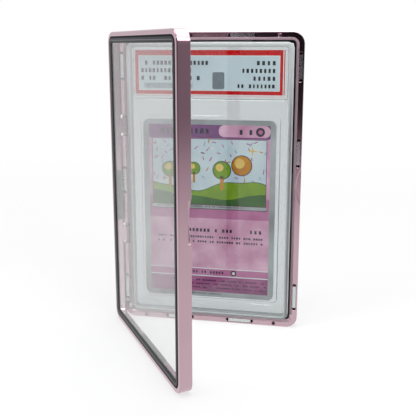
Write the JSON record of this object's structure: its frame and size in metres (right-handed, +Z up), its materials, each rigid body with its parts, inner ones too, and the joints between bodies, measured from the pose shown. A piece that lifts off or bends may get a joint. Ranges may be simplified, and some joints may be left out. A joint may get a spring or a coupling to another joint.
{
  "type": "trading card display case",
  "caption": "Hinged display case with clear panes and a magnetic closure, standing open and holding a trading card in a sealed slab.",
  "frame": {"origin": "middle of the rear frame's bottom edge face, on the surface that the case stands on", "axes": "+Z up, +X to the right along the rear half, -Y out of the rear half's mating face towards the viewer"},
  "size_m": [0.0915, 0.0773, 0.142],
  "materials": {
    "rose_anodised": "rose anodised, fine satin",
    "clear_pane": "polished clear",
    "black_seal": "smooth black rubber",
    "nickel_magnet": "nickel plated",
    "grey_rubber": "matt grey silicone rubber",
    "steel_pin": "ground steel",
    "clear_slab": "clear moulded plastic",
    "paper_label": "printed paper",
    "printed_card": "printed card with a light gloss"
  },
  "bodies": {
    "rear_half": {"rear_frame": "rose_anodised", "rear_pane": "clear_pane", "rear_seal": "black_seal", "rear_magnets_left": "nickel_magnet", "rear_magnets_right": "nickel_magnet", "rear_magnets_top": "nickel_magnet", "rear_magnets_bottom": "nickel_magnet", "rear_strip_left": "grey_rubber", "rear_strip_right": "grey_rubber", "rear_strip_top": "grey_rubber", "rear_strip_bottom": "grey_rubber", "upper_hinge_pin": "steel_pin", "lower_hinge_pin": "steel_pin", "slab_rear_shell": "clear_slab", "slab_front_shell": "clear_slab", "slab_label": "paper_label", "trading_card": "printed_card"},
    "front_half": {"front_frame": "rose_anodised", "front_pane": "clear_pane", "front_seal": "black_seal", "front_magnets_left": "nickel_magnet", "front_magnets_right": "nickel_magnet", "front_magnets_top": "nickel_magnet", "front_magnets_bottom": "nickel_magnet", "front_strip_left": "grey_rubber", "front_strip_right": "grey_rubber", "front_strip_top": "grey_rubber", "front_strip_bottom": "grey_rubber", "alignment_pins": "steel_pin"}
  },
  "joints": [
    {"name": "front_half_swing", "type": "hinge", "parent": "rear_half", "child": "front_half", "pos_m": [-0.04185, -0.0009, 0.071], "axis": [0, 0, -1], "range_deg": [-55, 50]}
  ]
}
